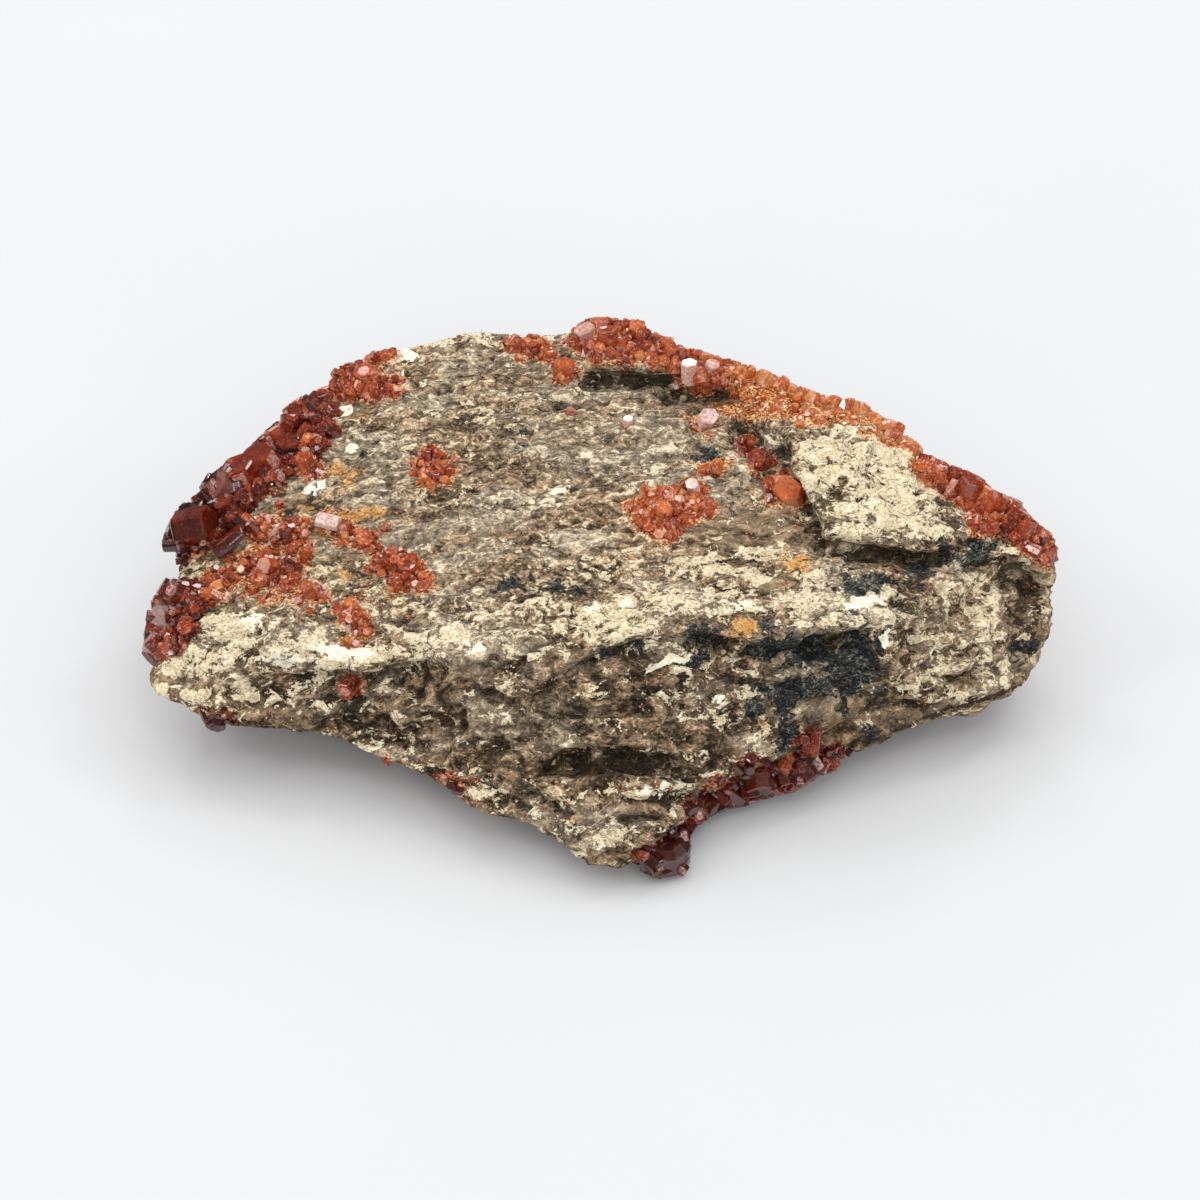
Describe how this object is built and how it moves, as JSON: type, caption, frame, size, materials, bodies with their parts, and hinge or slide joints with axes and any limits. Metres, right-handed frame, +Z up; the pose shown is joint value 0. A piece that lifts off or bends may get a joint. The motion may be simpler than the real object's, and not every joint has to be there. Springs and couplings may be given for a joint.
{
  "type": "vanadinite in matrix",
  "caption": "Loose mineral specimen: a grey-brown slab of host rock with red-brown hexagonal vanadinite crystals round its rim, in patches on top and over its underside.",
  "frame": {"origin": "centre of the footprint's bounding box, on the surface the specimen lies on", "axes": "+X along the specimen's long side, towards its blunt right end; +Y towards the back rim; +Z up, away from the surface"},
  "size_m": [0.0863, 0.0578, 0.0252],
  "materials": {
    "host_rock": "rough broken limonite-stained rock, dull, with cream, ochre and blue-black patches",
    "vanadinite": "resinous to adamantine lustre, deep red-brown to orange-red, slightly see-through at thin edges"
  },
  "bodies": {
    "root": {"matrix": "host_rock", "large_left_crystals": "vanadinite", "leaf_shaped_crystal": "vanadinite", "left_shoulder_crystals": "vanadinite", "left_rim_crystals": "vanadinite", "upper_left_rim_crystals": "vanadinite", "upper_left_cluster": "vanadinite", "lower_left_rim_crystals": "vanadinite", "left_patch_crystals": "vanadinite", "patch_arm_crystals": "vanadinite", "mid_left_cluster": "vanadinite", "ridge_cluster": "vanadinite", "under_ridge_crystal": "vanadinite", "upper_middle_cluster": "vanadinite", "upper_left_pair": "vanadinite", "back_rim_left_cluster": "vanadinite", "lone_orange_crystal": "vanadinite", "back_rim_cluster": "vanadinite", "notch_lip_cluster": "vanadinite", "pink_single_crystal": "vanadinite", "small_red_pair": "vanadinite", "centre_cluster": "vanadinite", "groove_crystals": "vanadinite", "groove_large_crystals": "vanadinite", "orange_rim_crust": "vanadinite", "right_rim_crystals": "vanadinite", "front_edge_crystals": "vanadinite", "front_tip_crystals": "vanadinite", "lower_left_edge_crystals": "vanadinite", "underside_druse": "vanadinite"}
  },
  "joints": []
}
